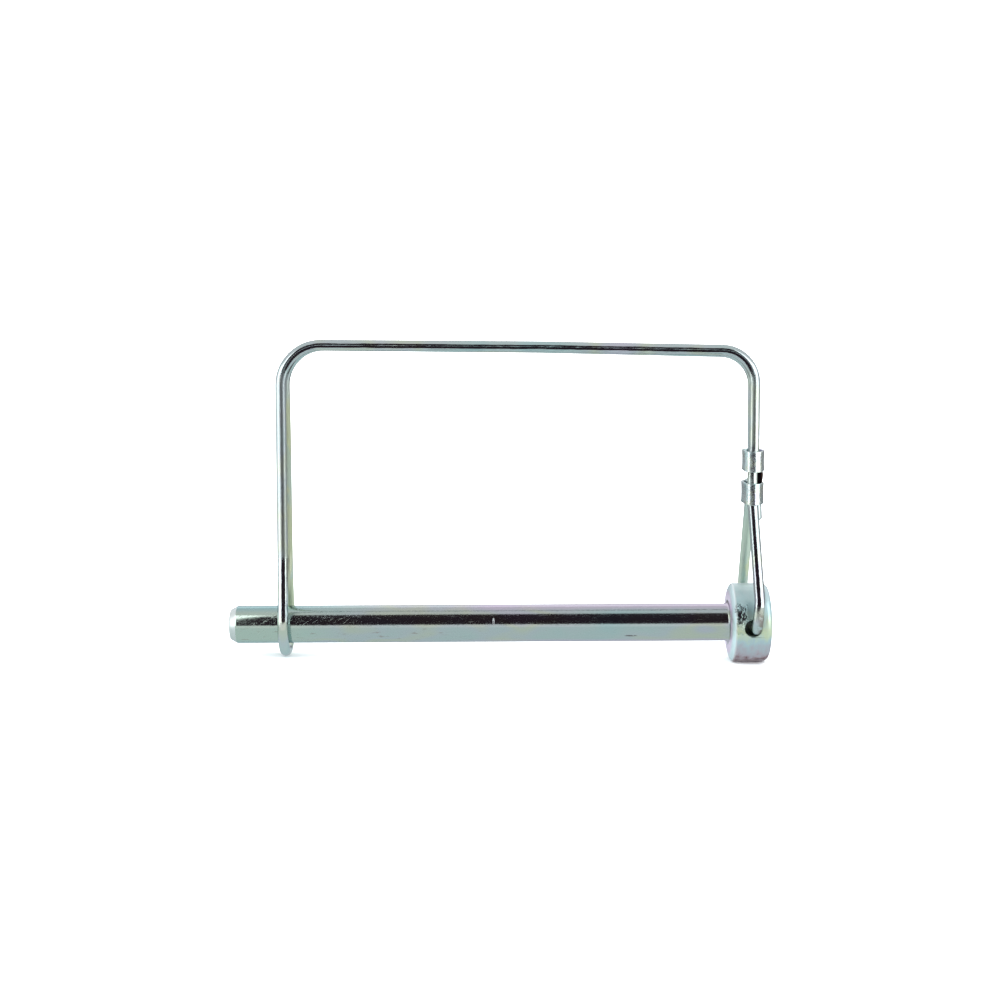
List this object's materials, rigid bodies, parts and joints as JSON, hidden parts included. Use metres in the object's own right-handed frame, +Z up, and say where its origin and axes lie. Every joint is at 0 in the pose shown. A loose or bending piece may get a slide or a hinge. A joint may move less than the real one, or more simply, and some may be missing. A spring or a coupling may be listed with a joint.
{
  "type": "wire lock hitch pin",
  "caption": "Straight steel pin with a disc head and a sprung double-wire bail that swings over the head and snaps round the shank to lock it",
  "frame": {"origin": "centre of the shoulder, the head's underside, on the pin's axis", "axes": "+X out through the head (the shank runs along -X to its tip), +Y across the bail along the head's cross-hole, +Z up into the bail"},
  "size_m": [0.1364, 0.0254, 0.082],
  "materials": {
    "pin_steel": "clear zinc plate, semi-bright",
    "wire_steel": "clear zinc plate, bright",
    "ferrule_steel": "clear zinc plate, bright, crimped"
  },
  "bodies": {
    "pin": {"pin": "pin_steel"},
    "bail": {"bail_wire": "wire_steel", "ferrule_upper": "ferrule_steel", "ferrule_lower": "ferrule_steel"}
  },
  "joints": [
    {"name": "bail_swing", "type": "hinge", "parent": "pin", "child": "bail", "pos_m": [0.0051, 0, 0], "axis": [0, 1, 0], "range_deg": [0, 250], "deforming": ["bail_wire"]}
  ]
}
